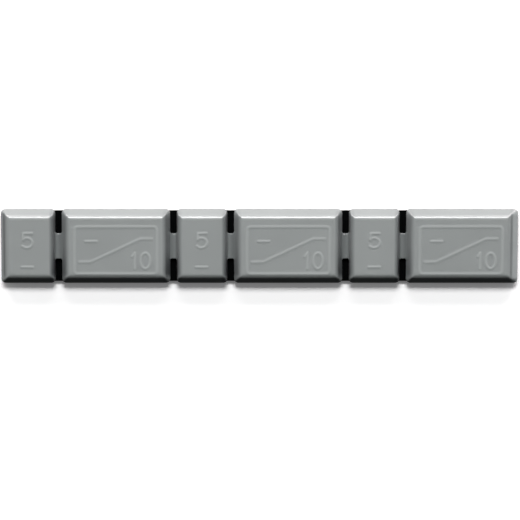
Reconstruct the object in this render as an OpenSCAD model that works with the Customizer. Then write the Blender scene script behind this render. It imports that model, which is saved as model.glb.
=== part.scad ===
// Stick-on wheel balance weight strip, lying on its back with its face up.
// X runs along the strip, Y across it and Z out of the face. The origin is under its middle.

/* [Strip] */
// Number of pairs, each a short and a long segment
pair_count = 3; // [1:1:6]
// Width of the casting across the strip
strip_w = 19; // [15:0.5:24]
// Thickness of the casting from its back to its face
strip_t = 3.2; // [2.9:0.1:4.5]
// Radius of each segment's upright corners
corner_r = 1.1; // [0.5:0.1:2]

/* [Segments] */
// Length of a short segment at its back
short_l = 13; // [10:0.5:20]
// Length of a long segment at its back
long_l = 27.75; // [26:0.25:40]
// Gap between two segments
slot_w = 1.7; // [1.3:0.1:3]
// How far the outer end of the first and last segment reaches beyond an inner end
outer_end_extra = 0.9; // [0:0.1:2]

/* [Bevels] */
// Height of the upright band above the back
land_h = 0.9; // [0.5:0.1:1.2]
// Distance from a long side to the flat face
side_run = 2.5; // [1.7:0.1:3]
// Distance from an inner end of a short segment to its flat face
short_end_run = 1.7; // [1.6:0.1:3]
// Distance from an inner end of a long segment to its flat face
long_end_run = 2.3; // [1.6:0.1:3]
// Radius of the rounding between bevel and face
edge_r = 1.5; // [0.6:0.1:1.5]

/* [Necks] */
// Width of a neck across the strip
neck_w = 6.5; // [3:0.5:10]
// Thickness of a neck at its thinnest
neck_t = 1; // [0.7:0.1:1.6]
// Radius of the hollow between a neck and a segment's end
hollow_r = 0.8; // [0.3:0.1:1]
// Radius of a slot's inner corners
slot_corner_r = 0.45; // [0.2:0.05:0.6]

/* [Raised frame and divider] */
// Height of a ridge above the face
ridge_h = 0.15; // [0.1:0.05:0.3]
// Width of a ridge at its foot
ridge_w = 0.75; // [0.6:0.05:1]
// Flat face left between the frame and each end of a long segment's face
frame_end_gap = 0.65; // [0:0.05:2]
// Flat face left between the frame and the +Y side of the face
frame_top_gap = 1.5; // [0:0.1:2.5]
// How far the frame's -Y side reaches over the rounding beside the face
frame_overlap = 0.35; // [0:0.05:0.5]
// Radius of the middle of the ridge at the frame's corners
frame_corner_r = 0.9; // [0.6:0.1:2]
// Space along the strip between the frame's ridge and each end of the divider
divider_end_gap = 0.6; // [0.3:0.1:3]
// Length along the strip of the divider's slanted middle
divider_slant_l = 12.7; // [8:0.1:16]
// Angle between the divider's slanted middle and the strip
divider_angle = 25; // [0:1:30]

/* [Tape and liner] */
// Thickness of the foam tape
tape_t = 1; // [0.5:0.1:2]
// How far the tape stops short of each long side of the casting
tape_side_gap = 0.4; // [0:0.1:3]
// How far the tape stops short of each end of the casting
tape_end_gap = 0.5; // [0:0.1:3]
// Thickness of the release liner
liner_t = 0.12; // [0.05:0.01:0.3]

/* [Hidden] */

$fn = 48;
arc_steps = 8;
pair_pitch = short_l + long_l + 2 * slot_w;
strip_l = pair_count * pair_pitch - slot_w + 2 * outer_end_extra;
tape_l = strip_l - 2 * tape_end_gap;
tape_w = strip_w - 2 * tape_side_gap;
// Where the first short segment's inner length starts, without its longer outer end
first_x = outer_end_extra - strip_l / 2;
// Outer size of the frame, and how far its middle is from the middle of the face
frame_l = long_l - 2 * (long_end_run + frame_end_gap);
frame_w = strip_w - 2 * side_run - frame_top_gap + frame_overlap;
frame_y = -(frame_top_gap + frame_overlap) / 2;
// Distance from the middle of the divider to the middle of each round end
divider_half = (frame_l - 3 * ridge_w) / 2 - divider_end_gap;
// A ridge is the cap of a round bar that lies partly under the face
ridge_bar_r = (ridge_w * ridge_w / 4 + ridge_h * ridge_h) / (2 * ridge_h);
ridge_bar_z = strip_t + ridge_h - ridge_bar_r;

// The bevel is a line from the top of the upright band that just touches the rounding.
// run is the distance from the edge to the flat face.
bevel_rise = strip_t - edge_r - land_h;
function bevel_angle(run) = atan2(bevel_rise, run) + asin(edge_r / norm([run, bevel_rise]));

// Points from the foot of the edge, up the band and the bevel and over the rounding,
// measured inwards from the edge
function edge_points(run) = concat(
    [[0, 0], [0, land_h]],
    [for (i = [0:arc_steps])
        let (a = bevel_angle(run) * (1 - i / arc_steps))
        [run - edge_r * sin(a), strip_t - edge_r + edge_r * cos(a)]]
);
function flipped(points, l) = [for (i = [len(points) - 1:-1:0]) [l - points[i][0], points[i][1]]];

// Middle of the hollow between a neck and a segment's bevel, measured into the segment
// from the slot's edge
function hollow_z() = neck_t + hollow_r;
function hollow_x(run) =
    ((hollow_z() - land_h) * cos(bevel_angle(run)) - hollow_r) / sin(bevel_angle(run));

// Points down the hollow, from where it touches the bevel to the neck's thinnest part
function hollow_points(run) = [
    for (i = [0:arc_steps])
        let (a = bevel_angle(run) * (1 - i / arc_steps))
        [hollow_x(run) + hollow_r * sin(a), hollow_z() - hollow_r * cos(a)]
];

// One half of a neck's section, from the middle of the slot into the segment beside it, as far
// as the flat face of a short segment
module half_neck_section(run) {
    inside = short_end_run;
    touch = hollow_points(run)[0];
    translate([slot_w / 2, 0])
        polygon(concat([[-slot_w / 2, 0], [inside, 0], [inside, touch[1]]],
                       hollow_points(run), [[-slot_w / 2, neck_t]]));
}

// Inner end of a slot, with its opening towards +Y
module slot_end() {
    straight = slot_w / 2 - slot_corner_r;
    for (side = [-1, 1])
        translate([side * straight, slot_corner_r]) circle(slot_corner_r);
    translate([-straight, 0]) square([2 * straight, slot_corner_r]);
    translate([-slot_w / 2, slot_corner_r]) square([slot_w, slot_corner_r]);
}

// Neck in the middle of a slot, with a hollow up to the segment on each side
module neck(left_run, right_run) {
    difference() {
        rotate([90, 0, 0]) linear_extrude(neck_w + 2 * slot_corner_r, center = true) {
            half_neck_section(right_run);
            mirror([1, 0]) half_neck_section(left_run);
        }
        for (turn = [0, 180])
            rotate(turn) translate([0, neck_w / 2]) linear_extrude(strip_t) slot_end();
    }
}

// What a round corner takes off a square corner at the origin that opens towards +X and +Y
module corner_waste() {
    difference() {
        translate([-corner_r, -corner_r]) square(2 * corner_r);
        translate([corner_r, corner_r]) circle(corner_r);
    }
}

// Outline of a segment's back
module segment_outline(l) {
    difference() {
        translate([0, -strip_w / 2]) square([l, strip_w]);
        for (x = [0, 1], y = [0, 1])
            translate([x * l, (y - 0.5) * strip_w]) mirror([x, 0]) mirror([0, y]) corner_waste();
    }
}

// One segment, from x = 0 to its length
module segment(l, first_run, last_run) {
    intersection() {
        rotate([90, 0, 0]) linear_extrude(strip_w, center = true)
            polygon(concat(edge_points(first_run), flipped(edge_points(last_run), l)));
        translate([0, -strip_w / 2, 0]) rotate([90, 0, 90]) linear_extrude(l)
            polygon(concat(edge_points(side_run), flipped(edge_points(side_run), strip_w)));
        linear_extrude(strip_t) segment_outline(l);
    }
}

// Ridges lie on the face of a long segment, with the middle of that face at the origin
module bar(l) {
    rotate([0, 90, 0]) cylinder(h = l, r = ridge_bar_r, center = true);
}

// Raised frame with round corners
module frame() {
    half_l = (frame_l - ridge_w) / 2;
    half_w = (frame_w - ridge_w) / 2;
    straight_l = half_l - frame_corner_r;
    straight_w = half_w - frame_corner_r;
    for (side = [-1, 1]) {
        translate([0, side * half_w, 0]) bar(2 * straight_l);
        translate([side * half_l, 0, 0]) rotate(90) bar(2 * straight_w);
    }
    for (x = [0, 1], y = [0, 1])
        mirror([x, 0, 0]) mirror([0, y, 0]) translate([straight_l, straight_w, 0])
            rotate_extrude(angle = 90) translate([frame_corner_r, 0]) circle(ridge_bar_r);
}

// Divider with a slanted middle and level ends. Its bars run on past each bend, which closes
// the bend's outer side.
module divider() {
    slant_x = divider_slant_l / 2;
    slant_y = slant_x * tan(divider_angle);
    past_bend = ridge_w * tan(divider_angle / 2);
    rotate(divider_angle) bar(divider_slant_l / cos(divider_angle) + 2 * past_bend);
    for (side = [-1, 1]) {
        translate([side * (slant_x - past_bend + divider_half) / 2, side * slant_y, 0])
            bar(divider_half - slant_x + past_bend);
        translate([side * divider_half, side * slant_y, 0]) sphere(ridge_bar_r);
    }
}

// A short and a long segment with the neck between them. The outer end of the strip's first
// and last segment has a longer bevel.
module pair(first_extra, last_extra) {
    long_x = short_l + slot_w;
    translate([-first_extra, 0, 0])
        segment(short_l + first_extra, short_end_run + first_extra, short_end_run);
    translate([short_l + slot_w / 2, 0, 0]) neck(short_end_run, long_end_run);
    translate([long_x, 0, 0]) segment(long_l + last_extra, long_end_run, long_end_run + last_extra);
    translate([long_x + long_l / 2, frame_y, ridge_bar_z]) {
        frame();
        divider();
    }
}

module zinc_strip() {
    last = pair_count - 1;
    color([0.56, 0.58, 0.57]) translate([first_x, 0, liner_t + tape_t]) {
        for (i = [0:last])
            translate([i * pair_pitch, 0, 0])
                pair(i == 0 ? outer_end_extra : 0, i == last ? outer_end_extra : 0);
        for (i = [1:1:last])
            translate([i * pair_pitch - slot_w / 2, 0, 0]) neck(long_end_run, short_end_run);
    }
}

// Flat strip under the whole casting, centred on it
module backing(t) {
    translate([-tape_l / 2, -tape_w / 2, 0]) cube([tape_l, tape_w, t]);
}

module foam_tape() {
    color([0.03, 0.03, 0.035]) translate([0, 0, liner_t]) backing(tape_t);
}

module release_liner() {
    color([0.93, 0.93, 0.9]) backing(liner_t);
}

zinc_strip();
foam_tape();
release_liner();
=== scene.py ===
"""Stick-on wheel balance weight strip: coated zinc casting on foam tape with a release liner."""
import math

import bmesh
import bpy
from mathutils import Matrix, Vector


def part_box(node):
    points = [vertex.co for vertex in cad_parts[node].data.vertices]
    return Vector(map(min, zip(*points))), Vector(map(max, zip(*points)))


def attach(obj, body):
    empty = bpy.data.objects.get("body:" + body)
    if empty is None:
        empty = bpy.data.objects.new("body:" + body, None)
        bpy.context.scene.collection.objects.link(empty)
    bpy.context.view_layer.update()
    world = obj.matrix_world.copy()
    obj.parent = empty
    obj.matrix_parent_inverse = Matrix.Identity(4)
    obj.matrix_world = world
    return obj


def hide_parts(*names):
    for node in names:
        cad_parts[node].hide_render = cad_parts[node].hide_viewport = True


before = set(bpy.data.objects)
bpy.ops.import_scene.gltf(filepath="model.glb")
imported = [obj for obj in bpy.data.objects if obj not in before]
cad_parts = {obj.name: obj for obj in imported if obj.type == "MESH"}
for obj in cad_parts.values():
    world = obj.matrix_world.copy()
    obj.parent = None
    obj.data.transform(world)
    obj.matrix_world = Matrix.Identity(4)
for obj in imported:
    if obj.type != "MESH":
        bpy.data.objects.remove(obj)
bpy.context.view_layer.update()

# Cast segments
# The real strip is pressure cast in zinc alloy as one row of weights joined by necks, and is then
# coated grey. The coating rounds every edge, so each raised line looks like a form under paint.
MM = 0.001
PAIRS = 3
SLOT = 1.7 * MM
LONG_LENGTH = 27.75 * MM
OUTER_END_EXTRA = 0.9 * MM
BAND_HEIGHT = 0.9 * MM
SIDE_RUN = 2.5 * MM
SHORT_END_RUN = 1.7 * MM
LONG_END_RUN = 2.3 * MM
EDGE_RADIUS = 1.5 * MM
CORNER_RADIUS = 1.1 * MM
CAST_RIDGE_HEIGHT = 0.15 * MM
MESH_CELL = 0.17 * MM
MERGE_DISTANCE = 0.001 * MM

cast_low, cast_high = (Vector(corner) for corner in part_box("zinc_strip"))
CAST_LENGTH = cast_high.x - cast_low.x
CAST_WIDTH = cast_high.y - cast_low.y
CAST_THICKNESS = cast_high.z - cast_low.z - CAST_RIDGE_HEIGHT
PAIR_PITCH = (CAST_LENGTH - 2 * OUTER_END_EXTRA + SLOT) / PAIRS
SHORT_LENGTH = PAIR_PITCH - 2 * SLOT - LONG_LENGTH


def add(tree, kind, values=None, **settings):
    """Add a node, give it its settings, and set or link its inputs."""
    node = tree.nodes.new(kind)
    for name, setting in settings.items():
        setattr(node, name, setting)
    for socket, value in (values or {}).items():
        if isinstance(value, bpy.types.NodeSocket):
            tree.links.new(value, node.inputs[socket])
        else:
            node.inputs[socket].default_value = value
    return node


def empty_tree(block):
    """Turn on the nodes of a material or world and clear them."""
    block.use_nodes = True
    block.node_tree.nodes.clear()
    return block.node_tree


def srgb(code):
    """Turn a hex colour into linear red, green, blue and alpha."""
    channels = [int(code[i:i + 2], 16) / 255 for i in (0, 2, 4)]
    return [c / 12.92 if c < 0.04045 else ((c + 0.055) / 1.055) ** 2.4 for c in channels] + [1]


def clamped(value):
    return min(max(value, 0), 1)


# Silver-grey powder coating on zinc, sprayed dry and baked: a smooth semi-gloss skin that gives
# soft-edged highlights, a little uneven in tone. Shade is painted darker into the slots, and the
# raised lines are painted a little lighter, partly as wear and partly as a painted highlight. The
# dimples of its orange peel are drawn at their real spacing and only break up the gloss.
TONE_SIZE = 9 * MM
PEEL_SIZE = 0.7 * MM
PEEL_DEPTH = 0.02 * MM
# A line that stands out this far is painted lightest, partly as wear and partly as a painted
# highlight.
HIGHLIGHT_AND_WEAR_RELIEF = 0.06 * MM
coated_zinc = bpy.data.materials.new("silver_grey_powder_coat")
shader_tree = empty_tree(coated_zinc)
place = add(shader_tree, "ShaderNodeTexCoord").outputs["Object"]
patches = add(shader_tree, "ShaderNodeTexNoise", {
    "Vector": place, "Scale": 1 / TONE_SIZE, "Detail": 1,
}).outputs[0]
tone = add(shader_tree, "ShaderNodeMix", {
    "Factor": patches, "A": srgb("8F9493"), "B": srgb("979C9B"),
}, data_type="RGBA").outputs["Result"]
relief = add(shader_tree, "ShaderNodeAttribute", attribute_name="relief").outputs["Fac"]
# The raised lines are painted lighter here, partly as wear and partly as a painted highlight.
highlight_and_wear = add(shader_tree, "ShaderNodeMapRange", {
    "Value": relief, "From Min": 0, "From Max": HIGHLIGHT_AND_WEAR_RELIEF,
}).outputs[0]
highlight_and_wear_tone = add(shader_tree, "ShaderNodeMix", {
    "Factor": highlight_and_wear, "A": tone, "B": srgb("9EA3A2"),
}, data_type="RGBA").outputs["Result"]
shade_share = add(shader_tree, "ShaderNodeAttribute", attribute_name="painted_shade").outputs["Fac"]
# Shade is painted darker here into the slots, their walls, the necks and the end steps.
painted_shade_tone = add(shader_tree, "ShaderNodeMix", {
    "Factor": shade_share, "A": highlight_and_wear_tone, "B": srgb("383B3D"),
}, data_type="RGBA").outputs["Result"]
sheen = add(shader_tree, "ShaderNodeMapRange", {
    "Value": patches, "To Min": 0.28, "To Max": 0.31,
}).outputs[0]
peel = add(shader_tree, "ShaderNodeTexNoise", {
    "Vector": place, "Scale": 1 / PEEL_SIZE, "Detail": 2,
}).outputs[0]
skin = add(shader_tree, "ShaderNodeBump", {
    "Height": peel, "Strength": 0.15, "Distance": PEEL_DEPTH,
}).outputs[0]
coat = add(shader_tree, "ShaderNodeBsdfPrincipled", {
    "Base Color": painted_shade_tone, "Roughness": sheen, "Normal": skin,
    "Coat Weight": 0.5, "Coat Roughness": 0.2,
})
add(shader_tree, "ShaderNodeOutputMaterial", {"Surface": coat.outputs[0]})


def new_tree(name, inputs, outputs):
    """Start a geometry node tree with named inputs and outputs."""
    tree = bpy.data.node_groups.new(name, "GeometryNodeTree")
    for label, kind in inputs:
        tree.interface.new_socket(label, in_out="INPUT", socket_type="NodeSocket" + kind)
    for label, kind in outputs:
        tree.interface.new_socket(label, in_out="OUTPUT", socket_type="NodeSocket" + kind)
    return tree, tree.nodes.new("NodeGroupInput").outputs, tree.nodes.new("NodeGroupOutput")


def bevel(run):
    """Slope of the bevel, and how far along it the rounding starts before the flat face."""
    rise = CAST_THICKNESS - EDGE_RADIUS - BAND_HEIGHT
    angle = math.atan2(rise, run) + math.asin(EDGE_RADIUS / math.hypot(run, rise))
    return angle, EDGE_RADIUS * math.sin(angle)


# Height of the edge at a distance from it: a straight bevel, then a rounding, then flat
profile, given, result = new_tree(
    "edge_profile",
    [(label, "Float") for label in ("Distance", "Run", "Slope", "Rounding", "Radius", "Height")],
    [("Level", "Float")],
)
left = add(profile, "ShaderNodeMath", {0: given["Run"], 1: given["Distance"]},
           operation="SUBTRACT").outputs[0]
bent = add(profile, "ShaderNodeClamp", {"Value": left, "Max": given["Rounding"]}).outputs[0]
bent_squared = add(profile, "ShaderNodeMath", {0: bent, 1: bent}, operation="MULTIPLY").outputs[0]
radius_squared = add(profile, "ShaderNodeMath", {0: given["Radius"], 1: given["Radius"]},
                     operation="MULTIPLY").outputs[0]
rest = add(profile, "ShaderNodeMath", {0: radius_squared, 1: bent_squared},
           operation="SUBTRACT").outputs[0]
arc = add(profile, "ShaderNodeMath", {0: rest}, operation="SQRT").outputs[0]
base = add(profile, "ShaderNodeMath", {0: given["Height"], 1: given["Radius"]},
           operation="SUBTRACT").outputs[0]
round_level = add(profile, "ShaderNodeMath", {0: base, 1: arc}, operation="ADD").outputs[0]
outside = add(profile, "ShaderNodeMath", {0: given["Rounding"], 1: left},
              operation="SUBTRACT").outputs[0]
down = add(profile, "ShaderNodeMath", {0: outside, 1: 0.0}, operation="MINIMUM").outputs[0]
level = add(profile, "ShaderNodeMath", {0: down, 1: given["Slope"], 2: round_level},
            operation="MULTIPLY_ADD").outputs[0]
profile.links.new(level, result.inputs["Level"])

# One segment: a grid whose corners are drawn in to a round outline, lifted to the edge
# profile on all four sides and raised along its strokes, with an upright band and a flat back
sizes = ("Length", "Width", "First Run", "First Slope", "First Rounding", "Last Run",
         "Last Slope", "Last Rounding", "Side Run", "Side Slope", "Side Rounding", "Edge Radius",
         "Corner Radius", "Thickness", "Marks X", "Ridge Height", "Ridge Width", "Mark Height",
         "Mark Width", "Step Height", "Step Width", "Wave Length", "Wave Depth", "Seed")
segment_tree, given, result = new_tree(
    "cast_segment",
    [("Ridges", "Object"), ("Marks", "Object"), ("Steps", "Object")]
    + [("Columns", "Int"), ("Rows", "Int")] + [(label, "Float") for label in sizes],
    [("Geometry", "Geometry")],
)
grid = add(segment_tree, "GeometryNodeMeshGrid", {
    "Size X": given["Length"], "Size Y": given["Width"],
    "Vertices X": given["Columns"], "Vertices Y": given["Rows"],
})
point = add(segment_tree, "GeometryNodeInputPosition").outputs[0]
outer = add(segment_tree, "ShaderNodeCombineXYZ", {
    "X": given["Length"], "Y": given["Width"],
}).outputs[0]
half_outer = add(segment_tree, "ShaderNodeVectorMath", {0: outer, 1: (0.5, 0.5, 0)},
                 operation="MULTIPLY").outputs[0]
corner_size = add(segment_tree, "ShaderNodeCombineXYZ", {
    "X": given["Corner Radius"], "Y": given["Corner Radius"],
}).outputs[0]
core = add(segment_tree, "ShaderNodeVectorMath", {0: half_outer, 1: corner_size},
           operation="SUBTRACT").outputs[0]
unsigned = add(segment_tree, "ShaderNodeVectorMath", {0: point}, operation="ABSOLUTE").outputs[0]
past_core = add(segment_tree, "ShaderNodeVectorMath", {0: unsigned, 1: core},
                operation="SUBTRACT").outputs[0]
in_corner = add(segment_tree, "ShaderNodeVectorMath", {0: past_core, 1: (0, 0, 0)},
                operation="MAXIMUM").outputs[0]
corner_parts = add(segment_tree, "ShaderNodeSeparateXYZ", {0: in_corner}).outputs
longest = add(segment_tree, "ShaderNodeMath", {0: corner_parts["X"], 1: corner_parts["Y"]},
              operation="MAXIMUM").outputs[0]
reach = add(segment_tree, "ShaderNodeVectorMath", {0: in_corner},
            operation="LENGTH").outputs["Value"]
draw_in = add(segment_tree, "ShaderNodeMath", {0: longest, 1: reach},
              operation="DIVIDE").outputs[0]
drawn = add(segment_tree, "ShaderNodeVectorMath", {0: in_corner, "Scale": draw_in},
            operation="SCALE").outputs[0]
in_core = add(segment_tree, "ShaderNodeVectorMath", {0: unsigned, 1: core},
              operation="MINIMUM").outputs[0]
placed = add(segment_tree, "ShaderNodeVectorMath", {0: in_core, 1: drawn},
             operation="ADD").outputs[0]
signs = add(segment_tree, "ShaderNodeVectorMath", {0: point}, operation="SIGN").outputs[0]
plan = add(segment_tree, "ShaderNodeVectorMath", {0: placed, 1: signs},
           operation="MULTIPLY").outputs[0]

plan_x = add(segment_tree, "ShaderNodeSeparateXYZ", {0: plan}).outputs["X"]
placed_y = add(segment_tree, "ShaderNodeSeparateXYZ", {0: placed}).outputs["Y"]
half_parts = add(segment_tree, "ShaderNodeSeparateXYZ", {0: half_outer}).outputs
wave_scale = add(segment_tree, "ShaderNodeMath", {0: 1.0, 1: given["Wave Length"]},
                 operation="DIVIDE").outputs[0]
waves = add(segment_tree, "ShaderNodeTexNoise", {
    "Vector": plan, "W": given["Seed"], "Scale": wave_scale, "Detail": 1,
}, noise_dimensions="4D").outputs[0]
wave = add(segment_tree, "ShaderNodeMapRange", {
    "Value": waves, "To Min": 0, "To Max": given["Wave Depth"],
}).outputs[0]
levels = []
for side, across, sign in (("First", plan_x, 1.0), ("Last", plan_x, -1.0),
                           ("Side", placed_y, -1.0)):
    half = half_parts["Y" if side == "Side" else "X"]
    from_edge = add(segment_tree, "ShaderNodeMath", {0: across, 1: sign, 2: half},
                    operation="MULTIPLY_ADD").outputs[0]
    worn = add(segment_tree, "ShaderNodeMath", {0: from_edge, 1: wave},
               operation="SUBTRACT").outputs[0]
    kept = add(segment_tree, "ShaderNodeMath", {0: worn, 1: 0.0}, operation="MAXIMUM").outputs[0]
    levels.append(add(segment_tree, "GeometryNodeGroup", {
        "Distance": kept, "Run": given[side + " Run"], "Slope": given[side + " Slope"],
        "Rounding": given[side + " Rounding"], "Radius": given["Edge Radius"],
        "Height": given["Thickness"],
    }, node_tree=profile).outputs[0])
ends = add(segment_tree, "ShaderNodeMath", {0: levels[0], 1: levels[1]},
           operation="MINIMUM").outputs[0]
# Where two bevels meet, the coating rounds the mitre. A higher power keeps it sharper.
MITRE_POWER = 4.5
powers = []
for level in (ends, levels[2]):
    drop = add(segment_tree, "ShaderNodeMath", {0: given["Thickness"], 1: level},
               operation="SUBTRACT").outputs[0]
    powers.append(add(segment_tree, "ShaderNodeMath", {0: drop, 1: MITRE_POWER},
                      operation="POWER").outputs[0])
both = add(segment_tree, "ShaderNodeMath", {0: powers[0], 1: powers[1]},
           operation="ADD").outputs[0]
soft_drop = add(segment_tree, "ShaderNodeMath", {0: both, 1: 1 / MITRE_POWER},
                operation="POWER").outputs[0]
height = add(segment_tree, "ShaderNodeMath", {0: given["Thickness"], 1: soft_drop},
             operation="SUBTRACT").outputs[0]
marks_middle = add(segment_tree, "ShaderNodeCombineXYZ", {"X": given["Marks X"]}).outputs[0]
from_marks = add(segment_tree, "ShaderNodeVectorMath", {0: plan, 1: marks_middle},
                 operation="SUBTRACT").outputs[0]
raised = 0.0
for kind in ("Ridge", "Mark", "Step"):
    lines = add(segment_tree, "GeometryNodeObjectInfo", {"Object": given[kind + "s"]})
    near = add(segment_tree, "GeometryNodeProximity", {
        "Geometry": lines.outputs["Geometry"], "Sample Position": from_marks,
    }, target_element="EDGES").outputs["Distance"]
    half = add(segment_tree, "ShaderNodeMath", {0: given[kind + " Width"], 1: 0.5},
               operation="MULTIPLY").outputs[0]
    relief = add(segment_tree, "ShaderNodeMapRange", {
        "Value": near, "From Min": 0.0, "From Max": half,
        "To Min": given[kind + " Height"], "To Max": 0.0,
    }, interpolation_type="SMOOTHSTEP").outputs[0]
    height = add(segment_tree, "ShaderNodeMath", {0: height, 1: relief},
                 operation="ADD").outputs[0]
    raised = add(segment_tree, "ShaderNodeMath", {0: raised, 1: relief},
                 operation="ADD").outputs[0]
# The coat's material reads how far each point is raised, to paint the raised lines lighter,
# partly as wear and partly as a painted highlight.
noted = add(segment_tree, "GeometryNodeStoreNamedAttribute", {
    "Geometry": grid.outputs[0], "Name": "relief", "Value": raised,
}, data_type="FLOAT", domain="POINT").outputs[0]
lift = add(segment_tree, "ShaderNodeCombineXYZ", {"Z": height}).outputs[0]
lifted = add(segment_tree, "ShaderNodeVectorMath", {0: plan, 1: lift}, operation="ADD").outputs[0]
shaped = add(segment_tree, "GeometryNodeSetPosition", {
    "Geometry": noted, "Position": lifted,
}).outputs[0]
faces_beside = add(segment_tree, "GeometryNodeInputMeshEdgeNeighbors").outputs[0]
rim = add(segment_tree, "FunctionNodeCompare", {"A": faces_beside, "B": 1},
          data_type="INT", operation="EQUAL").outputs[0]
band = add(segment_tree, "GeometryNodeExtrudeMesh", {
    "Mesh": shaped, "Selection": rim, "Offset Scale": 0.0,
}, mode="EDGES")
flatten = add(segment_tree, "ShaderNodeVectorMath", {
    0: add(segment_tree, "GeometryNodeInputPosition").outputs[0], 1: (1, 1, 0),
}, operation="MULTIPLY").outputs[0]
footed = add(segment_tree, "GeometryNodeSetPosition", {
    "Geometry": band.outputs["Mesh"], "Selection": band.outputs["Top"], "Position": flatten,
}).outputs[0]
foot = add(segment_tree, "GeometryNodeMeshToCurve", {
    "Mesh": footed, "Selection": band.outputs["Top"],
}).outputs[0]
filled = add(segment_tree, "GeometryNodeFillCurve", {"Curve": foot}, mode="NGONS").outputs[0]
back = add(segment_tree, "GeometryNodeFlipFaces", {"Mesh": filled}).outputs[0]
joined = add(segment_tree, "GeometryNodeJoinGeometry")
segment_tree.links.new(footed, joined.inputs[0])
segment_tree.links.new(back, joined.inputs[0])
closed = add(segment_tree, "GeometryNodeMergeByDistance", {
    "Geometry": joined.outputs[0], "Distance": MERGE_DISTANCE,
}).outputs[0]
solid = add(segment_tree, "GeometryNodeRealizeInstances", {0: closed}).outputs[0]
coated = add(segment_tree, "GeometryNodeSetMaterial", {"Geometry": solid, "Material": coated_zinc})
segment_tree.links.new(coated.outputs[0], result.inputs[0])

# Frame, divider, numerals, bars and end steps
# They are cast with the segments as low raised lines, sunk in the die by an engraver's cutter.
# Each short segment has a 5 and a bar, each long one a 10 and a bar in a frame with a divider.
# Across the bevel of each outer end runs a soft step, a shallow hollow under the coating.
RIDGE_HEIGHT = 0.06 * MM
RIDGE_WIDTH = 1.25 * MM
MARK_HEIGHT = 0.075 * MM
MARK_WIDTH = 1.05 * MM
STEP_HEIGHT = -0.12 * MM
STEP_WIDTH = 1.2 * MM


def in_scene(name, data):
    """Make an object of a mesh, lamp or camera and put it in the scene."""
    item = bpy.data.objects.new(name, data)
    bpy.context.scene.collection.objects.link(item)
    return item


def arc_points(x, y, radius_x, radius_y, first, last, steps=16):
    """Points along an elliptical arc between two angles in degrees."""
    angles = [math.radians(first + (last - first) * i / steps) for i in range(steps + 1)]
    return [(x + radius_x * math.cos(a), y + radius_y * math.sin(a)) for a in angles]


def stroke_object(name, lines):
    """Keep each line, in millimetres, as a chain of edges."""
    points = []
    edges = []
    for line in lines:
        edges += [(len(points) + i, len(points) + i + 1) for i in range(len(line) - 1)]
        points += [(x * MM, y * MM, 0) for x, y in line]
    mesh = bpy.data.meshes.new(name)
    mesh.from_pydata(points, edges, [])
    return in_scene(name, mesh)


def shifted(lines, x, y):
    return [[(x + px, y + py) for px, py in line] for line in lines]


def numeral(digit, width, height):
    """Single-stroke numeral about its middle, laid out in shares of its half width and height."""
    w, h = width / 2, height / 2
    if digit == "1":
        return [[(-w * 0.7, h * 0.55), (0, h), (0, -h)]]
    if digit == "0":
        return [arc_points(0, 0, w, h, 0, 360, 32)]
    bowl = arc_points(-w * 0.1, -h * 0.32, w * 1.1, h * 0.68, 110, -140)
    return [[(w * 0.9, h), (-w * 0.75, h), (-w * 0.85, h * 0.12)] + bowl]


# The lengths of the strokes are plain millimetres, measured from the middle of a segment.
BAR_HALF = 1.4
SHORT_BAR_X = -0.1
SHORT_BAR_Y = -5.2
LONG_BAR_X = -6.3
LONG_BAR_Y = 1.4
FIVE_WIDTH = 2.6
FIVE_HEIGHT = 3.7
FIVE_Y = 1.6
ONE_WIDTH = 1.8
ONE_X = 4.9
ZERO_WIDTH = 2.4
ZERO_X = 7.6
TEN_HEIGHT = 4.0
TEN_Y = -3.6
bar = [[(-BAR_HALF, 0), (BAR_HALF, 0)]]
short_marks = stroke_object("short_marks", (
    shifted(numeral("5", FIVE_WIDTH, FIVE_HEIGHT), 0, FIVE_Y)
    + shifted(bar, SHORT_BAR_X, SHORT_BAR_Y)))
long_marks = stroke_object("long_marks", (
    shifted(numeral("1", ONE_WIDTH, TEN_HEIGHT), ONE_X, TEN_Y)
    + shifted(numeral("0", ZERO_WIDTH, TEN_HEIGHT), ZERO_X, TEN_Y)
    + shifted(bar, LONG_BAR_X, LONG_BAR_Y)))

FRAME_HALF_LENGTH = 10.55
FRAME_HALF_WIDTH = 6.05
FRAME_CORNER = 0.9
FRAME_CORNER_STEPS = 6
FRAME_DOWN = 0.925
straight_x = FRAME_HALF_LENGTH - FRAME_CORNER
straight_y = FRAME_HALF_WIDTH - FRAME_CORNER
ring = []
for quarter, (sx, sy) in enumerate(((1, 1), (-1, 1), (-1, -1), (1, -1))):
    ring += arc_points(sx * straight_x, sy * straight_y, FRAME_CORNER, FRAME_CORNER,
                       90 * quarter, 90 * quarter + 90, FRAME_CORNER_STEPS)
ring.append(ring[0])
DIVIDER_HALF = 9.2
SLANT_HALF = 6.35
SLANT_ANGLE = math.radians(25)
slant_rise = SLANT_HALF * math.tan(SLANT_ANGLE)
divider = [(-DIVIDER_HALF, -slant_rise), (-SLANT_HALF, -slant_rise),
           (SLANT_HALF, slant_rise), (DIVIDER_HALF, slant_rise)]
long_ridges = stroke_object("long_ridges", shifted([ring, divider], 0, -FRAME_DOWN))

# Distances of the steps from the ends of the strip, and their half length across it
FIRST_STEP_IN = 0.85
LAST_STEP_IN = 1.8
STEP_HALF = 8.0
first_step_x = FIRST_STEP_IN - (SHORT_LENGTH + OUTER_END_EXTRA) / 2 / MM
last_step_x = (LONG_LENGTH / 2 + OUTER_END_EXTRA) / MM - LAST_STEP_IN
step = [[(0, -STEP_HALF), (0, STEP_HALF)]]
first_step = stroke_object("first_step", shifted(step, first_step_x, 0))
last_step = stroke_object("last_step", shifted(step, last_step_x, 0))


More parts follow.
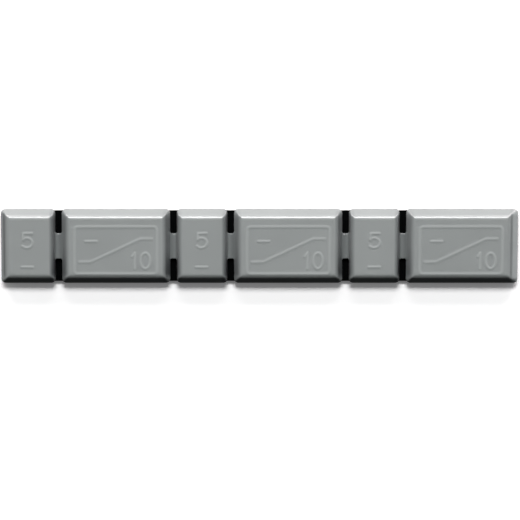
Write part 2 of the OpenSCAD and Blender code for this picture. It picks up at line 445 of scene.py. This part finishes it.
def grown(tree, name, values):
    """Run a geometry node tree with its named inputs set, and keep what it makes as a mesh."""
    carrier = in_scene(name, bpy.data.meshes.new(name + "_start"))
    modifier = carrier.modifiers.new("shape", "NODES")
    modifier.node_group = tree
    sockets = {item.name: item.identifier for item in tree.interface.items_tree
               if item.in_out == "INPUT"}
    for label, value in values.items():
        modifier[sockets[label]] = value
    evaluated = carrier.evaluated_get(bpy.context.evaluated_depsgraph_get())
    mesh = bpy.data.meshes.new_from_object(evaluated)
    carrier.modifiers.remove(modifier)
    carrier.data = mesh
    return carrier


WAVE_LENGTH = 7.7 * MM
WAVE_DEPTH = 0.06 * MM


def cast_segment(name, x, length, first_run, last_run, marks, marks_x, ridges, steps, seed):
    """Segment from x onwards. Its marks stand in, at no height, for ridges or steps it lacks,
    and the slow waves of its coating differ with the seed."""
    values = {
        "Length": length, "Width": CAST_WIDTH, "Thickness": CAST_THICKNESS,
        "Edge Radius": EDGE_RADIUS, "Corner Radius": CORNER_RADIUS,
        "Marks": marks, "Marks X": marks_x, "Mark Height": MARK_HEIGHT, "Mark Width": MARK_WIDTH,
        "Ridges": ridges or marks, "Ridge Height": RIDGE_HEIGHT if ridges else 0.0,
        "Ridge Width": RIDGE_WIDTH, "Steps": steps or marks,
        "Step Height": STEP_HEIGHT if steps else 0.0, "Step Width": STEP_WIDTH,
        "Columns": round(length / MESH_CELL), "Rows": round(CAST_WIDTH / MESH_CELL),
        "Wave Length": WAVE_LENGTH, "Wave Depth": WAVE_DEPTH, "Seed": float(seed),
    }
    for side, run in (("First", first_run), ("Last", last_run), ("Side", SIDE_RUN)):
        angle, rounding = bevel(run)
        values[side + " Run"] = run
        values[side + " Slope"] = math.tan(angle)
        values[side + " Rounding"] = rounding
    piece = grown(segment_tree, name, values)
    for vertex in piece.data.vertices:
        vertex.co += Vector((x + length / 2, 0, cast_low.z))
    return piece


# Longer outer ends belong to the first and the last segment. The last one's marks keep their
# distance from its inner end.
cast_pieces = []
for i in range(PAIRS):
    x = cast_low.x + OUTER_END_EXTRA + i * PAIR_PITCH
    first_extra = OUTER_END_EXTRA if i == 0 else 0.0
    last_extra = OUTER_END_EXTRA if i == PAIRS - 1 else 0.0
    cast_pieces.append(cast_segment(
        f"short_{i}", x - first_extra, SHORT_LENGTH + first_extra,
        SHORT_END_RUN + first_extra, SHORT_END_RUN,
        marks=short_marks, marks_x=0.0, ridges=None, steps=first_step if first_extra else None,
        seed=2 * i))
    cast_pieces.append(cast_segment(
        f"long_{i}", x + SHORT_LENGTH + SLOT, LONG_LENGTH + last_extra,
        LONG_END_RUN, LONG_END_RUN + last_extra,
        marks=long_marks, marks_x=-last_extra / 2, ridges=long_ridges,
        steps=last_step if last_extra else None, seed=2 * i + 1))

# Necks
# One lies in each slot between two segments and is cut or snapped to take a weight off. Its top
# is hollowed on both sides up to the bevels, and its long edges are rounded by the coating. Seen
# from above it widens into the segments in small round corners.
NECK_WIDTH = 6.5 * MM
NECK_THICKNESS = 1.0 * MM
HOLLOW_RADIUS = 0.8 * MM
HOLLOW_STEPS = 8
SLOT_CORNER_RADIUS = 0.45 * MM
NECK_EDGE_RADIUS = 0.22 * MM
NECK_ROWS = 40


def neck_section(left_run, right_run):
    """Points along a neck's top from inside one segment to inside the next."""
    points = []
    for side, run in ((-1, left_run), (1, right_run)):
        angle, _ = bevel(run)
        middle_z = NECK_THICKNESS + HOLLOW_RADIUS
        middle_x = ((middle_z - BAND_HEIGHT) * math.cos(angle) - HOLLOW_RADIUS) / math.sin(angle)
        hollow = []
        for step in range(HOLLOW_STEPS + 1):
            turn = angle * step / HOLLOW_STEPS
            hollow.append((side * (SLOT / 2 + middle_x + HOLLOW_RADIUS * math.sin(turn)),
                           middle_z - HOLLOW_RADIUS * math.cos(turn)))
        hollow.append((side * (SLOT / 2 + SHORT_END_RUN / 2), hollow[-1][1]))
        points += hollow if side > 0 else hollow[::-1]
    return points


def neck_half_width(x):
    """Half the neck's width, which grows in a round corner up to the segment."""
    past = min(max(abs(x) - (SLOT / 2 - SLOT_CORNER_RADIUS), 0), SLOT_CORNER_RADIUS)
    return NECK_WIDTH / 2 + SLOT_CORNER_RADIUS - math.sqrt(SLOT_CORNER_RADIUS ** 2 - past ** 2)


def neck(name, x, left_run, right_run):
    """Closed neck between two segments, with its middle at x."""
    section = neck_section(left_run, right_run)
    vertices = []
    for px, pz in section:
        half = neck_half_width(px)
        for j in range(NECK_ROWS + 1):
            y = half * math.sin(math.pi * (j / NECK_ROWS - 0.5))
            past = min(max(abs(y) - (half - NECK_EDGE_RADIUS), 0), NECK_EDGE_RADIUS)
            drop = NECK_EDGE_RADIUS - math.sqrt(NECK_EDGE_RADIUS ** 2 - past ** 2)
            vertices.append((x + px, y, cast_low.z + pz - drop))
        vertices.append((x + px, half, cast_low.z))
        vertices.append((x + px, -half, cast_low.z))
    loop = NECK_ROWS + 3
    faces = []
    for i in range(len(section) - 1):
        for j in range(loop):
            a = i * loop + j
            b = i * loop + (j + 1) % loop
            faces.append((a, a + loop, b + loop, b))
    faces.append(tuple(range(loop)))
    faces.append(tuple(reversed(range(len(vertices) - loop, len(vertices)))))
    mesh = bpy.data.meshes.new(name)
    mesh.from_pydata(vertices, [], faces)
    shape = bmesh.new()
    shape.from_mesh(mesh)
    bmesh.ops.recalc_face_normals(shape, faces=shape.faces)
    shape.to_mesh(mesh)
    shape.free()
    return in_scene(name, mesh)


necks = []
slot_middles = []
for i in range(PAIRS):
    slot_x = cast_low.x + OUTER_END_EXTRA + i * PAIR_PITCH + SHORT_LENGTH + SLOT / 2
    necks.append(neck(f"neck_{2 * i}", slot_x, SHORT_END_RUN, LONG_END_RUN))
    slot_middles.append(slot_x)
    if i < PAIRS - 1:
        next_x = slot_x + LONG_LENGTH + SLOT
        necks.append(neck(f"neck_{2 * i + 1}", next_x, LONG_END_RUN, SHORT_END_RUN))
        slot_middles.append(next_x)

# One casting
# Segments and necks come out of the die as one solid, and it is coated as one. Shade is painted
# into the slots, darker on their walls.
others = bpy.data.collections.new("cast_parts")
bpy.context.scene.collection.children.link(others)
for piece in cast_pieces[1:] + necks:
    bpy.context.scene.collection.objects.unlink(piece)
    others.objects.link(piece)
casting = cast_pieces[0]
union = casting.modifiers.new("one_casting", "BOOLEAN")
union.operation = "UNION"
union.operand_type = "COLLECTION"
union.collection = others
union.solver = "MANIFOLD"
evaluated = casting.evaluated_get(bpy.context.evaluated_depsgraph_get())
cast_mesh = bpy.data.meshes.new_from_object(evaluated)
casting.modifiers.remove(union)
casting.data = cast_mesh
casting.name = "casting"
strokes = [short_marks, long_ridges, long_marks, first_step, last_step]
for piece in cast_pieces[1:] + necks + strokes:
    bpy.data.objects.remove(piece)

# How strong the shade painted into the slots is. The wall on a slot's -X side gets more of it
# than the wall on its +X side, and the near ends of both walls get more still. A neck gets the
# least along its crest, on the side of the short segment, which leaves a painted highlight there.
MINUS_X_WALL_SHADE = 0.64
PLUS_X_WALL_SHADE = 0.44
NEAR_END_SHADE_EXTRA = 0.42
NEAR_END_REACH = 6 * MM
NECK_CREST_SHADE = 0.36
NECK_FOOT_SHADE = 0.52
NECK_CREST = 0.25 * MM
NECK_CREST_REACH = 0.6 * MM
# The painted shade is gone from this share of the way up a bevel, and grows over this share of it
# below that.
FADE_TOP = 0.9
FADE_SHARE = 0.5
# Shade is painted into the hollow end steps too.
STEP_SHADE = 0.6
STEP_REACH = 0.42 * MM
end_steps = (cast_low.x + FIRST_STEP_IN * MM, cast_high.x - LAST_STEP_IN * MM)


def painted_shade_strength(point):
    """How strong the painted shade is: none on a face, and most down a slot's walls."""
    nearest = min(range(len(slot_middles)), key=lambda i: abs(point.x - slot_middles[i]))
    offset = point.x - slot_middles[nearest]
    into_segment = abs(offset) - SLOT / 2
    towards_short = -1 if nearest % 2 == 0 else 1
    if into_segment < 0 and abs(point.y) < NECK_WIDTH / 2 + SLOT_CORNER_RADIUS / 2:
        from_crest = clamped(abs(offset - towards_short * NECK_CREST) / NECK_CREST_REACH)
        return NECK_CREST_SHADE + (NECK_FOOT_SHADE - NECK_CREST_SHADE) * from_crest
    up_bevel = into_segment / (SHORT_END_RUN if offset * towards_short > 0 else LONG_END_RUN)
    from_side = (CAST_WIDTH / 2 - abs(point.y)) / SIDE_RUN
    wall_shade = MINUS_X_WALL_SHADE if offset < 0 else PLUS_X_WALL_SHADE
    to_near_end = 1 + NEAR_END_SHADE_EXTRA * clamped(-point.y / NEAR_END_REACH)
    on_wall = wall_shade * to_near_end * clamped((FADE_TOP - up_bevel) / FADE_SHARE)
    from_step = min(abs(point.x - x) for x in end_steps)
    in_step = STEP_SHADE * clamped(1 - from_step / STEP_REACH)
    return max(on_wall, in_step) * clamped(from_side)


# Painted shade for each point, stored for the coat's material to darken the slots.
painted_shade = cast_mesh.attributes.new("painted_shade", "FLOAT", "POINT")
for vertex, shade_value in zip(cast_mesh.vertices, painted_shade.data):
    shade_value.value = painted_shade_strength(vertex.co)
SHARP_ANGLE = math.radians(40)
cast_mesh.materials.clear()
cast_mesh.materials.append(coated_zinc)
cast_mesh.shade_smooth()
cast_mesh.set_sharp_from_angle(angle=SHARP_ANGLE)
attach(casting, "root")
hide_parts("zinc_strip")

# Foam tape
# The real one is a strip of black closed-cell foam with adhesive on both faces, cut to length
# and pressed on to the back of the casting. Its cut sides look deep black and quite matt,
# because the cells, about a quarter of a millimetre wide, swallow the light.
CELL_SIZE = 0.25 * MM
CELL_DEPTH = 0.05 * MM
black_foam = bpy.data.materials.new("black_closed_cell_foam")
shader_tree = empty_tree(black_foam)
place = add(shader_tree, "ShaderNodeTexCoord").outputs["Object"]
cells = add(shader_tree, "ShaderNodeTexVoronoi", {
    "Vector": place, "Scale": 1 / CELL_SIZE,
}).outputs["Distance"]
pores = add(shader_tree, "ShaderNodeBump", {
    "Height": cells, "Strength": 0.5, "Distance": CELL_DEPTH,
}).outputs[0]
foam_tone = add(shader_tree, "ShaderNodeMix", {
    "Factor": cells, "A": srgb("010202"), "B": srgb("070809"),
}, data_type="RGBA").outputs["Result"]
foam = add(shader_tree, "ShaderNodeBsdfPrincipled", {
    "Base Color": foam_tone, "Roughness": 0.9, "Specular IOR Level": 0.03, "Normal": pores,
})
add(shader_tree, "ShaderNodeOutputMaterial", {"Surface": foam.outputs[0]})
for material_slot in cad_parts["foam_tape"].material_slots:
    material_slot.material = black_foam

# Release liner
# The real one is a thin white film coated with silicone, laid on the tape's back so that the
# adhesive stays clean until the strip is fitted. It looks smooth, pale and slightly glossy, and
# the foam's uneven skin, wavy over about a millimetre, gives it a faint cloudiness.
RIPPLE_SIZE = 1.1 * MM
RIPPLE_DEPTH = 0.02 * MM
liner_film = bpy.data.materials.new("white_silicone_film")
shader_tree = empty_tree(liner_film)
place = add(shader_tree, "ShaderNodeTexCoord").outputs["Object"]
ripples = add(shader_tree, "ShaderNodeTexNoise", {
    "Vector": place, "Scale": 1 / RIPPLE_SIZE, "Detail": 4,
}).outputs[0]
film_tone = add(shader_tree, "ShaderNodeMix", {
    "Factor": ripples, "A": srgb("E6E5DC"), "B": srgb("F0EFE8"),
}, data_type="RGBA").outputs["Result"]
film_bump = add(shader_tree, "ShaderNodeBump", {
    "Height": ripples, "Strength": 0.2, "Distance": RIPPLE_DEPTH,
}).outputs[0]
film = add(shader_tree, "ShaderNodeBsdfPrincipled", {
    "Base Color": film_tone, "Roughness": 0.3, "Normal": film_bump,
})
add(shader_tree, "ShaderNodeOutputMaterial", {"Surface": film.outputs[0]})
for material_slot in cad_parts["release_liner"].material_slots:
    material_slot.material = liner_film

# Floor
# A wide matt board under the strip. It throws little light back on the strip, and the camera
# alone sees it white: around the strip it is a little self-lit, which keeps the shadow soft, and
# farther away it turns to plain white. Its paint is lighter than a real one can be.
FLOOR_HALF = 3.0
SHADOW_REACH = 0.1
PLAIN_FROM = 0.4
SELF_LIT = 0.13
BOARD_PAINT = 1.4
white_board = bpy.data.materials.new("white_board")
shader_tree = empty_tree(white_board)
rays = add(shader_tree, "ShaderNodeLightPath")
board = add(shader_tree, "ShaderNodeBsdfDiffuse", {"Color": srgb("1E1E1E")})
lit_board = add(shader_tree, "ShaderNodeBsdfDiffuse", {"Color": (*[BOARD_PAINT] * 3, 1)})
white = add(shader_tree, "ShaderNodeEmission", {"Color": srgb("FFFFFF"), "Strength": 1.0})
place = add(shader_tree, "ShaderNodeTexCoord").outputs["Object"]
from_strip = add(shader_tree, "ShaderNodeVectorMath", {0: place},
                 operation="LENGTH").outputs["Value"]
whiteness = add(shader_tree, "ShaderNodeMapRange", {
    "Value": from_strip, "From Min": SHADOW_REACH, "From Max": PLAIN_FROM,
    "To Min": SELF_LIT, "To Max": 1.0,
}, interpolation_type="SMOOTHSTEP").outputs[0]
seen_board = add(shader_tree, "ShaderNodeMixShader", {
    0: whiteness, 1: lit_board.outputs[0], 2: white.outputs[0],
})
either_board = add(shader_tree, "ShaderNodeMixShader", {
    0: rays.outputs["Is Camera Ray"], 1: board.outputs[0], 2: seen_board.outputs[0],
})
add(shader_tree, "ShaderNodeOutputMaterial", {"Surface": either_board.outputs[0]})
floor_mesh = bpy.data.meshes.new("floor")
floor_mesh.from_pydata([(-FLOOR_HALF, -FLOOR_HALF, 0), (FLOOR_HALF, -FLOOR_HALF, 0),
                        (FLOOR_HALF, FLOOR_HALF, 0), (-FLOOR_HALF, FLOOR_HALF, 0)],
                       [], [(0, 1, 2, 3)])
floor_mesh.materials.append(white_board)
floor = in_scene("floor", floor_mesh)

# Light
# A key soft box stands beyond the far side with a narrow one below it, and together they draw
# the bright line along each far edge. Two low ones light the far bevels from either side, weak
# ones light the ends and the slots' walls, and the near side is in shade.
LAMP_DISTANCE = 1.0


def softbox(name, side, lean, width, depth, power, tint):
    """Area lamp that faces the strip, turned from +Y by side and leant from upright by lean."""
    side, lean = math.radians(side), math.radians(lean)
    towards = Vector((math.sin(side) * math.sin(lean), math.cos(side) * math.sin(lean),
                      math.cos(lean)))
    lamp = bpy.data.lights.new(name, "AREA")
    lamp.shape = "RECTANGLE"
    lamp.size = width
    lamp.size_y = depth
    lamp.energy = power
    lamp.color = srgb(tint)[:3]
    lamp_object = in_scene(name, lamp)
    lamp_object.location = towards * LAMP_DISTANCE
    lamp_object.rotation_euler = (-towards).to_track_quat("-Z", "Y").to_euler()


softbox("key", side=0, lean=41, width=0.5, depth=0.24, power=8.1, tint="FFFFFF")
softbox("edge", side=0, lean=61.5, width=0.6, depth=0.07, power=2.2, tint="FFFFFF")
softbox("low_left", side=-23, lean=79, width=0.36, depth=0.25, power=6.0, tint="FFF4F6")
softbox("low_right", side=23, lean=79, width=0.36, depth=0.25, power=5.5, tint="FFF4F6")
softbox("left", side=-62, lean=80, width=0.4, depth=0.3, power=1.5, tint="FAFCFF")
softbox("right", side=65, lean=80, width=0.4, depth=0.3, power=1.0, tint="FAFCFF")
softbox("left_top", side=-65, lean=28, width=0.5, depth=0.2, power=0.2, tint="FAFCFF")
softbox("right_top", side=65, lean=28, width=0.5, depth=0.2, power=0.3, tint="FAFCFF")
softbox("right_end", side=90, lean=85, width=0.3, depth=0.1, power=0.5, tint="FAFCFF")
world = bpy.data.worlds.new("studio")
world_tree = empty_tree(world)
rays = add(world_tree, "ShaderNodeLightPath")
seen = add(world_tree, "ShaderNodeBackground", {"Color": srgb("FFFFFF"), "Strength": 1.0})
dim = add(world_tree, "ShaderNodeBackground", {"Color": srgb("F0F6FF"), "Strength": 0.01})
either = add(world_tree, "ShaderNodeMixShader", {
    0: rays.outputs["Is Camera Ray"], 1: dim.outputs[0], 2: seen.outputs[0],
})
add(world_tree, "ShaderNodeOutputWorld", {"Surface": either.outputs[0]})
bpy.context.scene.world = world

# Camera
# It looks down on the strip from about half a metre. It is tipped a little towards the far side,
# so that the far bevels look wide and the near ones narrow.
CAMERA_DISTANCE = 0.56
CAMERA_TIP = math.radians(6)
SENSOR_SIDE = 36
PHOTO_SIDE = 520
PIXELS_PER_MM = 3.889
STRIP_MIDDLE_PX = (259.5, 245.65)
aim = Vector(((PHOTO_SIDE / 2 - STRIP_MIDDLE_PX[0]) / PIXELS_PER_MM * MM,
              (STRIP_MIDDLE_PX[1] - PHOTO_SIDE / 2) / PIXELS_PER_MM * MM, cast_low.z))
away = Vector((0, math.sin(CAMERA_TIP), math.cos(CAMERA_TIP)))
view_width = PHOTO_SIDE / PIXELS_PER_MM * MM
lens = bpy.data.cameras.new("camera")
lens.sensor_width = SENSOR_SIDE
lens.sensor_height = SENSOR_SIDE
lens.lens = SENSOR_SIDE * CAMERA_DISTANCE / view_width
camera = in_scene("camera", lens)
camera.location = aim + away * CAMERA_DISTANCE
camera.rotation_euler = (-CAMERA_TIP, 0, 0)
bpy.context.scene.camera = camera
bpy.context.scene.view_settings.view_transform = "Standard"

bpy.context.view_layer.update()
